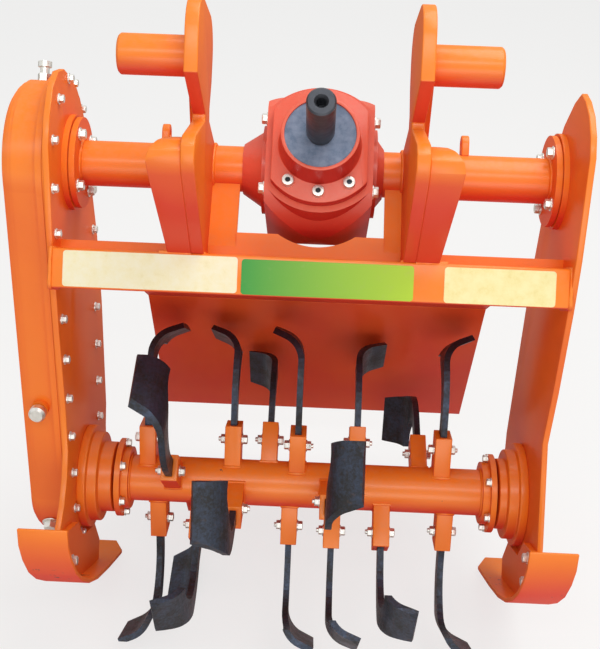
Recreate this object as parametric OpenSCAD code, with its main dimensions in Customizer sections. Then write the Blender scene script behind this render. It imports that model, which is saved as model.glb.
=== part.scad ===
// Rotary tiller for a small tractor: a gearbox in the middle of a cross tube,
// a chain case on the left, a side plate on the right and a tined rotor between.
// All lengths are millimetres. Inside the modules X runs along the rotor, Y
// runs rearward and Z upward from the axis of the cross tube, square to the
// view from the front; the whole machine is then leaned back onto its tines
// and the rear ends of its skids, as it parks on a floor.

/* [Stand] */
// Lean back onto tines and skid ends
lean_deg = 32.8; // [0:0.1:40]
// Height of the cross tube above the floor
stand_height = 706.7; // [500:0.1:900]
// Shifts that put the origin under the middle of the whole machine
stand_shift_x = 32.5; // [-100:0.1:100]
stand_shift_y = 62.8; // [-300:0.1:300]

/* [Frame] */
// Outside diameter of the cross tube
tube_d = 60; // [40:0.5:90]
// Wall of the cross tube
tube_wall = 5; // [3:0.5:8]
// Inner face of the chain case plate
case_x = -330; // [-400:1:-250]
// Inner face of the right side plate
side_x = 318; // [250:1:400]
// Thickness of the right side plate
side_thick = 8; // [5:0.5:16]
// Height and depth of the square front bar
bar_size = 50; // [30:1:80]
// Front face of the front bar, ahead of the cross tube
bar_front = -100; // [-160:1:-60]
// Top of the front bar, below the cross tube
bar_top = -118; // [-160:1:-80]

/* [Rotor] */
// Rotor axis behind the cross tube
rotor_y = 170; // [100:1:260]
// Rotor axis below the cross tube
rotor_z = -448; // [-560:1:-350]
// Radius to the tips of the tines
tine_reach = 238; // [150:1:300]
// Outside diameter of the rotor tube
rotor_tube_d = 68; // [50:1:100]
// Thickness of a tine
tine_thick = 9; // [6:0.5:14]
// Width of a tine's stem
stem_width = 25; // [18:1:36]

/* [Gearbox] */
// Upward tilt of the input shaft
input_tilt = 15; // [0:0.5:30]
// Diameter of the input shaft
input_d = 35; // [25:0.5:45]
// Distance from the cross tube axis to the shaft's end
input_reach = 218; // [150:1:280]

/* [Hitch] */
// Diameter of the hitch stub tubes
stub_d = 48; // [30:0.5:60]
// Length of a hitch stub beyond its arm
stub_length = 85; // [50:1:140]
// Thickness of a hitch arm
arm_thick = 16; // [8:0.5:25]
// Middle between the two arms
arm_mid_x = -15; // [-40:1:40]
// Distance between the arms' inner faces
arm_gap = 248; // [150:1:320]

/* [Parts] */
// Sub-part to show

/* [Hidden] */
// Every sub-part
// Smoothness of the few curves that are not exact
$fn = 64;
// Bar bottom and rear
bar_bottom = bar_top - bar_size;
bar_rear = bar_front + bar_size;
// Outer radius of the cross tube and thickness of its end flanges
tube_r = tube_d / 2;
end_flange_t = 16;
// Outer faces of the arms
arm_l_in = arm_mid_x - arm_gap / 2;
arm_r_in = arm_mid_x + arm_gap / 2;
// Joint face of the chain case and the outside of its cover
case_joint_x = case_x - 12;
case_out_x = -398;
// Radii of the chain case about its two shafts
case_top_r = 106;
case_low_r = 80;
// Ends of the rotor tube
rotor_x0 = -262;
rotor_x1 = 258;
// Thickness of the rotor's end flanges
flange_t = 18;
// Gap between turning and standing faces
run_gap = 5;
// Radius of the rotor's stub shafts and of their bores
stub_shaft_r = 22;
stub_bore_r = 22.06;
// Middle of each hitch stub in the plane of its arm
stub_y = -170;
stub_z = 110;
// Seal face and front flange along the input shaft
seal_at = 129;
flange_at = 92;
// Narrower journal of the input shaft and the shoulder where it ends
journal_r = input_d / 2 - 2;
shoulder_at = seal_at + 6;
// Colours
ENAMEL = [0.86, 0.33, 0.10];
TINE = [0.14, 0.15, 0.17];
STEEL = [0.30, 0.31, 0.34];
ZINC = [0.70, 0.70, 0.68];

// Tines: place along the rotor, direction in degrees (0 rearward, 90 up),
// hand of the curl (-1 to the left, 1 to the right)
TX = 0; TA = 1; TH = 2;
TINES = [
  [-236, 105,  1], [-221, 290, -1], [-196, 160, -1], [-172, 330, -1],
  [-157, 248, -1], [-111,  98, -1], [-103, 205, -1], [ -58,  70, -1],
  [ -24, 282,  1], [ -15, 110, -1], [  32, 190,  1], [  40, 265,  1],
  [  73,  82,  1], [ 112, 247,  1], [ 168,  45, -1], [ 198, 104,  1],
  [ 208, 285,  1],
];

// Shape in the Y and Z plane, drawn out from x0 to x1
module across(x0, x1) {
  translate([x0, 0, 0]) rotate([90, 0, 90]) linear_extrude(x1 - x0) children();
}
// Round bar or disc along X about a point of the Y and Z plane
module disc_x(x0, x1, r, y = 0, z = 0) {
  translate([x0, y, z]) rotate([0, 90, 0]) cylinder(h = x1 - x0, r = r);
}
// Points of an arc
function arc(cy, cz, r, a0, a1, n) =
  [for (i = [0:n]) [cy + r * cos(a0 + (a1 - a0) * i / n), cz + r * sin(a0 + (a1 - a0) * i / n)]];
// Frame of the input shaft: +Z points out along the shaft
module on_input() { rotate([90 - input_tilt, 0, 0]) children(); }
// Frame of the rotor
module at_rotor() { translate([0, rotor_y, rotor_z]) children(); }
// Leans the machine back and sets it on the floor
module parked() {
  translate([stand_shift_x, stand_shift_y, stand_height]) rotate([-lean_deg, 0, 0]) children();
}

// Ends of the gearbox's conical necks
neck_x0 = -100;
neck_x1 = 84;
// Cast gearbox: barrel body, machined sides, necks to the cross tube
module gearbox_housing() color(ENAMEL) parked() {
  difference() {
    union() {
      intersection() {
        on_input() translate([0, 0, -78]) cylinder(h = 78 + flange_at - 14, r = 96);
        across(-68, 68) union() { circle(r = 96); }
        translate([-68, -200, -96]) cube([136, 400, 204]);
      }
      on_input() intersection() {
        cylinder(h = flange_at - 14, r = 84);
        translate([-66, -90, 0]) cube([132, 180, 100]);
      }
      disc_x(-74, 74, 58);
      translate([-74, 0, 0]) rotate([0, -90, 0]) cylinder(h = -74 - neck_x0, r1 = 50, r2 = 33);
      translate([74, 0, 0]) rotate([0, 90, 0]) cylinder(h = neck_x1 - 74, r1 = 46, r2 = 33);
    }
    disc_x(neck_x0 - 1, neck_x1 + 1, tube_r - tube_wall);
    disc_x(-60, 60, 62);
    on_input() translate([0, 0, 0]) cylinder(h = 100, r = 52);
  }
}

// Bearing housing on the gearbox's front, with a flat-sided flange
module gearbox_front_flange() color(ENAMEL) parked() on_input() difference() {
  union() {
    translate([0, 0, flange_at - 14]) linear_extrude(14) intersection() {
      circle(r = 76);
      square([120, 160], center = true);
    }
    translate([0, 0, flange_at]) cylinder(h = seal_at - flange_at - 8, r1 = 52, r2 = 48.5);
    translate([0, 0, seal_at - 8]) cylinder(h = 8, r = 48.5);
  }
  translate([0, 0, flange_at - 15]) cylinder(h = 26, r = 44);
  translate([0, 0, seal_at - 26.5]) cylinder(h = 12, r = 30);
  translate([0, 0, seal_at - 15]) cylinder(h = 16, r = 44);
}

// Dark seal disc around the input shaft
module input_seal_ring() color(STEEL) parked() on_input() difference() {
  translate([0, 0, seal_at - 15]) cylinder(h = 13, r = 44);
  translate([0, 0, seal_at - 16]) cylinder(h = 15, r = journal_r + 0.06);
}

// Plain round input shaft with a centre hole and a narrower journal in the seal
module input_shaft() color(STEEL) parked() on_input() difference() {
  union() {
    translate([0, 0, 40]) cylinder(h = shoulder_at - 40, r = journal_r);
    translate([0, 0, shoulder_at]) cylinder(h = input_reach - 2 - shoulder_at, r = input_d / 2);
    translate([0, 0, input_reach - 2]) cylinder(h = 2, r1 = input_d / 2, r2 = input_d / 2 - 2);
  }
  translate([0, 0, input_reach - 24]) cylinder(h = 25, r = 6);
  translate([0, 0, input_reach - 4]) cylinder(h = 4.5, r1 = 6, r2 = 9);
}

// Cross tubes between the gearbox necks and the end flanges
module cross_tube_left() color(ENAMEL) parked() difference() {
  disc_x(case_x + end_flange_t, neck_x0, tube_r);
  disc_x(case_x + end_flange_t - 1, neck_x0 + 1, tube_r - tube_wall);
}
module cross_tube_right() color(ENAMEL) parked() difference() {
  disc_x(neck_x1, side_x - end_flange_t, tube_r);
  disc_x(neck_x1 - 1, side_x - end_flange_t + 1, tube_r - tube_wall);
}

// Bolted end flanges of the cross tube
module end_flange(x0, x1, wide_first) {
  xm = (x0 + x1) / 2;
  difference() {
    union() {
      disc_x(x0, xm - 0.75, wide_first ? 63 : 60);
      disc_x(xm - 0.75, xm + 0.75, 57);
      disc_x(xm + 0.75, x1, wide_first ? 60 : 63);
    }
    disc_x(x0 - 1, x1 + 1, tube_r - tube_wall);
  }
}
module tube_flange_left() color(ENAMEL) parked() end_flange(case_x, case_x + end_flange_t, true);
module tube_flange_right() color(ENAMEL) parked() end_flange(side_x - end_flange_t, side_x, false);

// Two flat lugs that stand on the cross tube
module tube_lugs() color(ENAMEL) parked() {
  for (x = [-210, 186]) difference() {
    across(x, x + 10) difference() {
      union() {
        translate([-12, 0]) square([24, tube_r + 14]);
        translate([0, tube_r + 14]) circle(r = 12);
      }
      circle(r = tube_r);
      translate([0, tube_r + 13]) circle(r = 5);
    }
  }
}

// Chain case: distance and direction between its shafts, and how far round
// from that line its straight sides start
case_len = sqrt(rotor_y * rotor_y + rotor_z * rotor_z);
tip = atan2(rotor_z, rotor_y);
side = acos((case_top_r - case_low_r) / case_len);
// Outline of the chain case about its two shafts, grown or shrunk by g; the
// straight sides run a hair inside the two rounds, so they meet at clean edges
module case_outline(g) {
  R = case_top_r + g;
  r = case_low_r + g;
  in = 0.4;
  circle(r = R);
  translate([rotor_y, rotor_z]) circle(r = r);
  polygon([
    [(R - in) * cos(tip + side), (R - in) * sin(tip + side)],
    [rotor_y + (r - in) * cos(tip + side), rotor_z + (r - in) * sin(tip + side)],
    [rotor_y + (r - in) * cos(tip - side), rotor_z + (r - in) * sin(tip - side)],
    [(R - in) * cos(tip - side), (R - in) * sin(tip - side)],
  ]);
}

// Inner plate of the chain case, which carries the tube, hub and skid
LEFT_PLATE = concat(
  [[-130, 3], [-128, 40], [-116, 78], [-92, 102], [-62, 111], [-20, 108], [30, 92], [78, 58],
   [132, -27], [175, -84], [230, -186], [296, -352]],
  arc(190, -430, 118, 22, -70, 8),
  [[40, -541], [8, -520], [6, -498], [26, -465], [36, -430], [36, -394], [12, -331], [-41, -225],
   [-95, -101]]
);
module chain_case_plate() color(ENAMEL) parked() difference() {
  union() {
    across(case_x - 8, case_x) polygon(LEFT_PLATE);
    across(case_joint_x, case_x - 8) case_outline(10);
  }
  disc_x(case_joint_x - 1, case_x + 1, tube_r - tube_wall);
  disc_x(case_joint_x - 1, case_x + 1, stub_bore_r, rotor_y, rotor_z);
}

// Place on the front side of the case, with +Z pointing away from it
plug_down = 318;
plug_x = case_out_x + 29;
module on_case_front() {
  reach = case_top_r - (case_top_r - case_low_r) * plug_down / case_len;
  translate([plug_x, plug_down * cos(tip), plug_down * sin(tip)])
    rotate([tip - side - 90, 0, 0]) translate([0, 0, reach]) children();
}

// Domed cover of the chain case, with a boss for the level plug: its edge is
// rolled in steps towards the outside
COVER_STEPS = [[0, 3, -15], [3, 6, -10.5], [6, 10, -6.5], [10, 15, -3], [15, 48, 0]];
boss_h = 9;
module chain_case_cover() color(ENAMEL) parked() {
  difference() {
    union() {
      across(case_joint_x - 8, case_joint_x) case_outline(10);
      for (c = COVER_STEPS) across(case_out_x + c[0], case_out_x + c[1]) case_outline(c[2]);
    }
    across(case_out_x + 15, case_joint_x + 1) case_outline(-5);
    across(case_out_x + 5, case_out_x + 16) case_outline(-18);
  }
  on_case_front() translate([0, 0, -3]) cylinder(h = boss_h + 3, r = 12);
}

// Breather on top of the case and level plug on its side
breather_x = case_out_x + 32;
module chain_case_breather() color(ZINC) parked() difference() {
  translate([breather_x, -20, case_top_r - 10]) {
    cylinder(h = 16, r = 9, $fn = 6);
    cylinder(h = 26, r = 6);
    translate([0, 0, 25]) cylinder(h = 7, r = 9);
  }
  disc_x(breather_x - 14, breather_x + 14, case_top_r + 0.05);
}
module oil_level_plug() color(STEEL) parked() on_case_front() {
  translate([0, 0, boss_h]) cylinder(h = 4, r = 9);
  translate([0, 0, boss_h + 3]) cylinder(h = 9, r = 11.5);
  translate([0, 0, boss_h + 12]) cylinder(h = 4, r1 = 11.5, r2 = 8.5);
}

// Right side plate with its pointed top
RIGHT_PLATE = concat(
  [[-162, 10], [-160, 36], [-148, 62], [-126, 84], [-104, 97], [-70, 92], [-15, 72], [44, 34],
   [92, -30], [140, -96], [190, -176], [300, -372]],
  arc(196, -430, 116, 22, -72, 8),
  [[60, -541], [28, -520], [24, -493], [24, -352], [-30, -272], [-88, -172], [-118, -110]]
);
module right_side_plate() color(ENAMEL) parked() difference() {
  across(side_x, side_x + side_thick) polygon(RIGHT_PLATE);
  disc_x(side_x - 1, side_x + side_thick + 1, tube_r - tube_wall);
  disc_x(side_x - 1, side_x + side_thick + 1, stub_bore_r, rotor_y, rotor_z);
}

// Square front bar between the side plates
module front_bar() color(ENAMEL) parked() difference() {
  across(case_x, side_x) translate([bar_front, bar_bottom]) square([bar_size, bar_size]);
  across(case_x - 1, side_x + 1)
    translate([bar_front + 4, bar_bottom + 4]) square([bar_size - 8, bar_size - 8]);
}

// Flat tie behind the bar, its top edge just above it
module hood_tie() color(ENAMEL) parked()
  across(case_x, side_x) translate([bar_rear, bar_bottom + 6]) square([6, bar_size + 7]);

// Folded deck over the rotor, from the tie to the rear board
deck_y0 = bar_rear + 6;
deck_z0 = bar_top - 20;
board_y0 = 222;
board_z0 = -174;
board_y1 = 471;
board_z1 = -363;
board_x0 = -257;
board_x1 = 264;
module hood_deck() color(ENAMEL) parked() across(board_x0, board_x1) polygon([
  [deck_y0, deck_z0], [board_y0, board_z0], [board_y0 + 3, board_z0 + 4], [deck_y0, deck_z0 + 4],
]);

// Sloping rear board with a folded lip
module rear_board() color(ENAMEL) parked() {
  across(board_x0, board_x1) polygon([
    [board_y0, board_z0], [board_y1, board_z1], [board_y1 + 12, board_z1 + 4],
    [board_y1 + 12, board_z1 + 8], [board_y1, board_z1 + 5], [board_y0 + 3, board_z0 + 4],
  ]);
}

// Hitch arm: head, forward-open notch, and a foot down to the front bar
// Outline points of an arm in the Y and Z plane
ARM = concat(
  arc(-196, 128, 44, 180, 90, 6),
  arc(-126, 128, 44, 80, 0, 6),
  [[-84, 96], [-96, 62], [-92, 48], [-30, 34], [26, 24], [38, 0], [26, -30], [-6, -70],
   [-42, -104.9], [-50, -105], [-50, -118], [-100, -118], [-222, -34], [-234, -20], [-236, -2],
   [-226, 10], [-140, 40], [-139, 48], [-236, 78]]
);
module arm_outline() difference() {
  polygon(ARM);
  circle(r = tube_r);
}
module hitch_arm_left() color(ENAMEL) parked()
  across(arm_l_in - arm_thick, arm_l_in) arm_outline();
module hitch_arm_right() color(ENAMEL) parked()
  across(arm_r_in, arm_r_in + arm_thick) arm_outline();

// Stub tubes on the outside of the arms' heads, with chamfered ends
module stub(x0, s) translate([x0, stub_y, stub_z]) rotate([0, s * 90, 0]) difference() {
  union() {
    cylinder(h = stub_length - 3, r = stub_d / 2);
    translate([0, 0, stub_length - 3]) cylinder(h = 3, r1 = stub_d / 2, r2 = stub_d / 2 - 3);
  }
  translate([0, 0, -1]) cylinder(h = stub_length + 2, r = stub_d / 2 - 6);
}
module hitch_stub_left() color(ENAMEL) parked() stub(arm_l_in - arm_thick, -1);
module hitch_stub_right() color(ENAMEL) parked() stub(arm_r_in + arm_thick, 1);

// Curved gusset plates outside the arms, rolled over the tube down to the bar;
// seen from the front their outer edge slants and has a round top corner
gusset_w = 40;
gusset_corner = 32;
module gusset_outline() difference() {
  polygon([[-100, -118], [-216, -36], [-228, -22], [-231, -8], [-221, 4], [-190, 12], [-110, 24],
    [-12, 36], [0, 34], [0, 28], [-30, 24], [-108, 15], [-188, 3], [-215, -4], [-221, -11],
    [-219, -20], [-209, -31], [-86, -118]]);
  circle(r = tube_r);
}
module gusset_front() polygon(concat(
  [[0, -150], [gusset_w - 15, -150]],
  arc(gusset_w - gusset_corner, 42 - gusset_corner, gusset_corner, 0, 90, 8),
  [[0, 42]]
));
module arm_gusset(x0, s) intersection() {
  across(min(x0, x0 + s * gusset_w), max(x0, x0 + s * gusset_w)) gusset_outline();
  translate([x0, 0, 0]) rotate([8, 0, 0]) scale([s, 1, 1]) translate([0, 50, 0])
    rotate([90, 0, 0]) linear_extrude(400) gusset_front();
}
module arm_gusset_left() color(ENAMEL) parked() arm_gusset(arm_l_in - arm_thick, -1);
module arm_gusset_right() color(ENAMEL) parked() arm_gusset(arm_r_in + arm_thick, 1);

// Flat struts that stand on the tube behind each arm's notch
module arm_struts() color(ENAMEL) parked() {
  for (x0 = [arm_l_in - arm_thick - 14, arm_r_in + arm_thick]) difference() {
    across(x0, x0 + 14) polygon([[-40, 44], [-30, 44], [-100, 140], [-110, 140]]);
  }
}

// Front-facing webs inside the arms, between the tube and the hood tie
module inner_webs() color(ENAMEL) parked() difference() {
  union() {
    across(arm_l_in, -103) polygon([[-50, -105], [-44, -105], [-14, -20], [-20, -20]]);
    across(87, arm_r_in) polygon([[-50, -105], [-44, -105], [-14, -20], [-20, -20]]);
  }
  disc_x(-200, 200, tube_r);
}

// Cross plate under the gearbox with a round cut-out
module cradle_plate() color(ENAMEL) parked() difference() {
  translate([-103, bar_rear, bar_top + 13]) cube([190, 6, 18]);
  translate([0, bar_rear - 1, bar_top + 106]) rotate([-90, 0, 0]) cylinder(h = 8, r = 90);
}

// Bearing housings that stand on the plates and carry the rotor
module hub(x0, x1) {
  s = x1 > x0 ? 1 : -1;
  at_rotor() difference() {
    union() {
      translate([x0, 0, 0]) rotate([0, s * 90, 0]) {
        cylinder(h = 12, r = 76);
        cylinder(h = 26, r = 66);
        cylinder(h = abs(x1 - x0), r = 52);
      }
    }
    translate([x0 - s, 0, 0]) rotate([0, s * 90, 0]) cylinder(h = abs(x1 - x0) + 2, r = stub_bore_r);
  }
}
module rotor_hub_left() color(ENAMEL) parked() hub(case_x, rotor_x0 - flange_t - run_gap);
module rotor_hub_right() color(ENAMEL) parked() hub(side_x, rotor_x1 + flange_t + run_gap);

// Turned-up skids: underside points from the front lip to the rear end
SKID = [
  [-94, -474], [-84, -498], [-62, -522], [-30, -546], [10, -565], [60, -581], [120, -591],
  [200, -596], [290, -598.5], [375, -599],
];
// Sides of the two skids
SKID_LEFT = [-362, -298];
SKID_RIGHT = [284, 346];
module skid_outline() polygon(concat(SKID, [
  [375, -593], [290, -592.5], [200, -590], [121, -585], [62, -575], [13, -559.5], [-26, -541],
  [-57, -518], [-78, -495], [-88, -474],
]));
// One skid between its sides; its rear end is cut back at the inner side
module skid(side, inner, s) difference() {
  across(side[0], side[1]) skid_outline();
  translate([inner, 310, -620]) rotate([0, 0, s * 18])
    translate([s > 0 ? 0 : -40, -20, 0]) cube([40, 160, 40]);
}
module skid_left() color(ENAMEL) parked() skid(SKID_LEFT, SKID_LEFT[1], 1);
module skid_right() color(ENAMEL) parked() skid(SKID_RIGHT, SKID_RIGHT[0], -1);

// Upright brackets between the plates and the skids
module skid_brackets() color(ENAMEL) parked() {
  for (x0 = [case_x, side_x - 8])
    across(x0, x0 + 8) polygon([
      [20, -500], [20, -561.6], [60, -574.3], [121, -585], [200, -590], [240, -591.1], [240, -560],
      [200, -528], [120, -528], [80, -500],
    ]);
}

// Rotor tube with its stub shafts
module rotor_tube() color(ENAMEL) parked() at_rotor() {
  difference() {
    disc_x(rotor_x0, rotor_x1, rotor_tube_d / 2);
    disc_x(rotor_x0 - 1, rotor_x1 + 1, rotor_tube_d / 2 - 6);
  }
}
module rotor_flanges() color(ENAMEL) parked() at_rotor() {
  for (s = [-1, 1]) {
    x0 = s < 0 ? rotor_x0 : rotor_x1;
    translate([x0, 0, 0]) rotate([0, s * 90, 0]) {
      cylinder(h = flange_t - 8, r = 46);
      translate([0, 0, flange_t - 8]) cylinder(h = 8, r = 58);
      translate([0, 0, flange_t]) cylinder(h = 50, r = stub_shaft_r);
    }
  }
}

// Box sockets welded to the rotor tube, each with room for one stem
socket_r = 90;
module socket() {
  difference() {
    translate([-12, -19, 22]) cube([24, 38, socket_r - 22]);
    disc_x(-20, 20, rotor_tube_d / 2);
    translate([-tine_thick / 2, -stem_width / 2, 10]) cube([tine_thick, stem_width, 90]);
  }
}
module placed_tines(hand) {
  for (t = TINES) if (hand == 0 || t[TH] == hand)
    translate([t[TX], 0, 0]) rotate([t[TA] - 90, 0, 0]) children();
}
module tine_sockets() color(ENAMEL) parked() at_rotor() placed_tines(0) socket();

// One tine: a flat stem that sweeps back to a broad blade curled to one side
bend_r = 38;
bend_deg = 68;
tail = 20;
sweep = 20;
// The plate's edge line: straight up, round the bend, then a straight tail
function on_bend(r, a) = [bend_r - r * cos(a), tine_reach - bend_r - 12 + r * sin(a)];
function past_bend(r, a) = on_bend(r, a) + tail * [sin(a), cos(a)];
module tine_strip() {
  ro = bend_r + tine_thick / 2;
  ri = bend_r - tine_thick / 2;
  polygon(concat(
    [[tine_thick / 2, 35], [-tine_thick / 2, 35]],
    [for (i = [0:8]) on_bend(ro, bend_deg * i / 8)],
    [past_bend(ro, bend_deg), past_bend(ri, bend_deg)],
    [for (i = [8:-1:0]) on_bend(ri, bend_deg * i / 8)]
  ));
}
// The plate's outline from the side, leading edge towards -Y
module tine_side() polygon(concat(
  [[-stem_width / 2, 35], [-stem_width / 2, 118]],
  arc(102, 118, 102 + stem_width / 2, 176, 72, 13),
  [[138, 206], [132, 190]],
  arc(84, 112, 84 - stem_width / 2, 58, 180, 12),
  [[stem_width / 2, 35]]
));
module tine(hand) intersection() {
  scale([hand, 1, 1]) rotate([-sweep, 0, 0]) rotate([90, 0, 0]) translate([0, 0, -160])
    linear_extrude(320) tine_strip();
  across(-90, 90) intersection() {
    tine_side();
    circle(r = tine_reach);
  }
}
module tines_left_hand() color(TINE) parked() at_rotor() placed_tines(-1) tine(-1);
module tines_right_hand() color(TINE) parked() at_rotor() placed_tines(1) tine(1);

gearbox_housing();
gearbox_front_flange();
input_seal_ring();
input_shaft();
cross_tube_left();
cross_tube_right();
tube_flange_left();
tube_flange_right();
tube_lugs();
chain_case_plate();
chain_case_cover();
chain_case_breather();
oil_level_plug();
right_side_plate();
front_bar();
hood_tie();
hood_deck();
rear_board();
hitch_arm_left();
hitch_arm_right();
hitch_stub_left();
hitch_stub_right();
arm_gusset_left();
arm_gusset_right();
arm_struts();
inner_webs();
cradle_plate();
rotor_hub_left();
rotor_hub_right();
skid_left();
skid_right();
skid_brackets();
rotor_tube();
rotor_flanges();
tine_sockets();
tines_left_hand();
tines_right_hand();
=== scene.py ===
"""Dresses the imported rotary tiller: finishes, fasteners, weld beads, bar plates and a plain studio stage.

The machine frame has X along the rotor, Y rearward and Z up from the cross tube, in millimetres, and the
parked machine leans back in it. Pieces are placed in that frame, and PARKED turns their places into metres
on the floor.
"""

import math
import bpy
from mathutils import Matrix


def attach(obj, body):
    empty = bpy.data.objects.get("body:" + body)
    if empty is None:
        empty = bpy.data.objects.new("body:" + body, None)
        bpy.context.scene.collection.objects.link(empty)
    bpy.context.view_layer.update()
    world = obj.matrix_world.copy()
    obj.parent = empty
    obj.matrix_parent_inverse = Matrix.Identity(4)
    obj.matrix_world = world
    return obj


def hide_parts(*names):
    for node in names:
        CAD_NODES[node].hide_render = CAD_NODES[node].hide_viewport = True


bl_info = {
    "name": "Rotary Tiller Dressing",
    "version": (1, 0, 0),
    "blender": (4, 5, 0),
    "location": "3D View > Sidebar > Tiller",
    "description": "Finishes, fasteners, weld beads and stage for a small rotary tiller",
    "category": "Object",
}

import bpy
from mathutils import Matrix, Vector

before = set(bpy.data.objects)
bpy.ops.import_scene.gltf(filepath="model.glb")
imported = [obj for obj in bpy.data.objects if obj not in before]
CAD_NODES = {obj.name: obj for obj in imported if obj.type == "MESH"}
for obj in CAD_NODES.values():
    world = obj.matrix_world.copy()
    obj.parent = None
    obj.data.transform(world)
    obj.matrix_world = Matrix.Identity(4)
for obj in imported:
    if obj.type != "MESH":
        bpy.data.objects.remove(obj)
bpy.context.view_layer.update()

# How the machine stands: its lean on the floor, and where its cross tube is
LEAN = math.radians(32.8)
TUBE_AT = Vector((32.5, 62.8, 706.7))
MM = 0.001
TURNED = Matrix.Rotation(-LEAN, 4, "X")
PARKED = Matrix.Scale(MM, 4) @ Matrix.Translation(TUBE_AT) @ TURNED

# Sizes of the solids that the pieces sit on, in the machine frame
CASE_X, CASE_FLANGE_X = -330, -338
SIDE_X, SIDE_OUT_X = 318, 326
TUBE_R, END_FLANGE_T, BRACKET_T = 30, 16, 8
ROTOR_Y, ROTOR_Z = 170, -448
CASE_TOP_R, CASE_LOW_R = 106, 80
CASE_LEN = math.hypot(ROTOR_Y, ROTOR_Z)
CASE_TIP = math.atan2(ROTOR_Z, ROTOR_Y)
CASE_SIDE = math.acos((CASE_TOP_R - CASE_LOW_R) / CASE_LEN)
ROTOR_X = (-262, 258)
ROTOR_TUBE_R, SOCKET_HALF_X, SOCKET_HALF_Y = 34, 12, 19
BAR_FRONT, BAR_TOP, BAR_SIZE = -100, -118, 50
ARM_LEFT = (-155, -139)
ARM_RIGHT = (109, 125)
STUB_Y, STUB_Z, STUB_R = -170, 110, 24
INPUT_TILT = math.radians(15)

# Ends of the middle film along the bar, between which its colour runs from green to yellow
MIDDLE_FILM_X = (-91, 123)

# Heights of bolt heads, thickness of a washer, and where a head starts in it, in metres
HEAD_HEIGHT, SMALL_HEAD_HEIGHT = 0.0085, 0.0075
WASHER_T, HEAD_FOOT = 0.0016, 0.0014

# Tine sockets: place along the rotor, and direction in degrees (0 rearward, 90 up)
SOCKETS = [
    (-236, 105), (-221, 290), (-196, 160), (-172, 330), (-157, 248), (-111, 98),
    (-103, 205), (-58, 70), (-24, 282), (-15, 110), (32, 190), (40, 265),
    (73, 82), (112, 247), (168, 45), (198, 104), (208, 285),
]


def linear(code):
    """Linear colour of an sRGB hex code."""
    parts = [int(code[i : i + 2], 16) / 255 for i in (1, 3, 5)]
    return tuple(c / 12.92 if c <= 0.04045 else ((c + 0.055) / 1.055) ** 2.4 for c in parts)


def per_mm(size):
    """Scale of a pattern on Object coordinates whose grain is that many millimetres."""
    return 1 / (size * MM)


# ---------------------------------------------------------------- settings


class FinishSettings(bpy.types.PropertyGroup):
    """Colours of the machine's finishes"""

    enamel: bpy.props.FloatVectorProperty(
        name="Enamel", description="Orange enamel on plates and tubes", subtype="COLOR",
        min=0, max=1, default=linear("#fa8424"))
    # Painted shade: the redder colour the enamel takes on faces that look down or sideways
    enamel_painted_shade: bpy.props.FloatVectorProperty(
        name="Deep enamel", description="Redder tone on faces turned away from the spray", subtype="COLOR",
        min=0, max=1, default=linear("#e0452e"))
    cast_enamel: bpy.props.FloatVectorProperty(
        name="Casting enamel", description="Enamel over the gearbox castings", subtype="COLOR",
        min=0, max=1, default=linear("#e3644c"))
    # Painted shade: the darker red the casting enamel takes on faces that look down or sideways
    cast_painted_shade: bpy.props.FloatVectorProperty(
        name="Deep casting enamel", description="Darker red on the underside of the castings",
        subtype="COLOR", min=0, max=1, default=linear("#b92c24"))
    tine: bpy.props.FloatVectorProperty(
        name="Tine scale", description="Black forging scale on the tines", subtype="COLOR",
        min=0, max=1, default=linear("#222122"))
    tine_worn: bpy.props.FloatVectorProperty(
        name="Tine steel", description="Blue-grey steel where the scale is worn", subtype="COLOR",
        min=0, max=1, default=linear("#465268"))
    seal: bpy.props.FloatVectorProperty(
        name="Seal", description="Dusty rubber face of the input seal", subtype="COLOR",
        min=0, max=1, default=linear("#5d6f87"))


class FastenerSettings(bpy.types.PropertyGroup):
    """Sizes of bolts and weld beads"""

    bolt_flats: bpy.props.FloatProperty(
        name="Bolt flats", description="Width across the flats of the main bolts", subtype="DISTANCE",
        unit="LENGTH", default=0.012, min=0.006, max=0.03)
    small_flats: bpy.props.FloatProperty(
        name="Small bolt flats", description="Width across the flats of the case bolts", subtype="DISTANCE",
        unit="LENGTH", default=0.0095, min=0.005, max=0.02)
    case_pitch: bpy.props.FloatProperty(
        name="Case bolt pitch", description="Distance between bolts round the chain case",
        subtype="DISTANCE", unit="LENGTH", default=0.06, min=0.03, max=0.12)
    bead: bpy.props.FloatProperty(
        name="Weld bead", description="Radius of a weld bead", subtype="DISTANCE",
        unit="LENGTH", default=0.0028, min=0.001, max=0.01)


class StageSettings(bpy.types.PropertyGroup):
    """Camera, lamps and floor"""

    lens: bpy.props.FloatProperty(
        name="Lens", description="Focal length of the camera", unit="CAMERA", default=59.7, min=20, max=200)
    key_power: bpy.props.FloatProperty(
        name="Key lamp", description="Power of the soft lamp overhead", unit="POWER",
        default=38, min=0, max=1000)
    front_power: bpy.props.FloatProperty(
        name="Front lamp", description="Power of the long soft lamp above the camera", unit="POWER",
        default=18, min=0, max=1000)
    low_power: bpy.props.FloatProperty(
        name="Low lamp", description="Power of the broad soft lamp low in front", unit="POWER",
        default=20, min=0, max=1000)
    sky: bpy.props.FloatProperty(
        name="Room light", description="Strength of the even light from all round",
        default=0.52, min=0, max=2)
    floor: bpy.props.FloatVectorProperty(
        name="Floor", description="Colour of the pale floor", subtype="COLOR",
        min=0, max=1, default=linear("#e6e4e0"))


# ---------------------------------------------------------------- materials


def feed(tree, node, inputs):
    """Gives inputs of a node a value or another node's socket each."""
    for name, value in inputs.items():
        socket = node.inputs[name]
        if isinstance(value, bpy.types.NodeSocket):
            tree.links.new(value, socket)
        elif socket.type == "RGBA" and len(value) == 3:
            socket.default_value = (*value, 1)
        else:
            socket.default_value = value


def add(tree, kind, inputs=None, **settings):
    """Adds a node with its settings and inputs."""
    node = tree.nodes.new(kind)
    for name, value in settings.items():
        setattr(node, name, value)
    feed(tree, node, inputs or {})
    return node


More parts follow.
